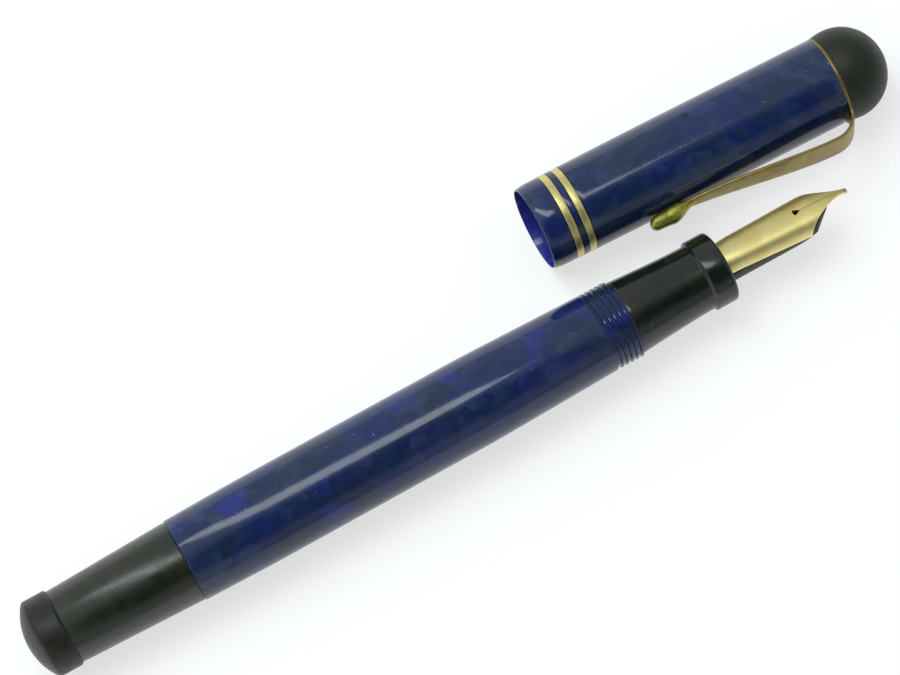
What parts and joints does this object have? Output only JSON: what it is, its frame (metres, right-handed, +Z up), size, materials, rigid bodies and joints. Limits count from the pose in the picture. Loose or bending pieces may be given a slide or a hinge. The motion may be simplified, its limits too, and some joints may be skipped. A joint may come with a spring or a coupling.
{
  "type": "fountain pen",
  "caption": "Round button-filling fountain pen, uncapped, with open nib, blind cap over the button and a clip cap lying beside it.",
  "frame": {"origin": "on the pen's axis, in the middle of the barrel's straight, widest stretch", "axes": "+X along the pen's axis towards the nib, +Z up as the pen lies on a table, +Y towards the cap that lies beside it"},
  "size_m": [0.1461, 0.0302, 0.0135],
  "materials": {
    "lapis_blue": "polished mottled lapis blue resin",
    "black_ebonite": "polished black hard rubber, slightly browned",
    "feed_ebonite": "matte black hard rubber",
    "nib_gold": "polished pale gold sheet",
    "nib_tipping": "polished hard alloy",
    "gold_plate": "rolled gold ring",
    "clip_brass": "worn, tarnished gold plate over brass",
    "sac_rubber": "soft rubber tube",
    "spring_steel": "plain spring steel strip",
    "rivet_brass": "plain brass",
    "button_metal": "plain spun aluminium"
  },
  "bodies": {
    "pen": {"barrel": "lapis_blue", "section": "black_ebonite", "nib": "nib_gold", "nib_tipping": "nib_tipping", "feed": "feed_ebonite", "ink_sac": "sac_rubber", "spring_leaf": "spring_steel", "presser_bar": "spring_steel", "presser_rivets": "rivet_brass", "button_bushing": "black_ebonite"},
    "button": {"filler_button": "button_metal"},
    "blind_cap": {"blind_cap": "black_ebonite", "tail_knob": "black_ebonite"},
    "cap": {"cap_tube": "lapis_blue", "inner_cap": "black_ebonite", "cap_top": "black_ebonite", "clip": "clip_brass", "clip_ball": "clip_brass", "cap_band_lower": "gold_plate", "cap_band_upper": "gold_plate"}
  },
  "joints": [
    {"name": "cap_slide", "type": "slide", "parent": "pen", "child": "cap", "axis": [0.9995, -0.0305, 0], "range_m": [0, 0.04]},
    {"name": "blind_cap_slide", "type": "slide", "parent": "pen", "child": "blind_cap", "axis": [-1, 0, 0], "range_m": [0, 0.025]},
    {"name": "button_push", "type": "slide", "parent": "pen", "child": "button", "axis": [1, 0, 0], "range_m": [0, 0.0045], "stiffness_N_per_m": 1500, "springref_m": -0.001, "deforming": ["spring_leaf", "presser_bar", "presser_rivets", "ink_sac"]}
  ]
}
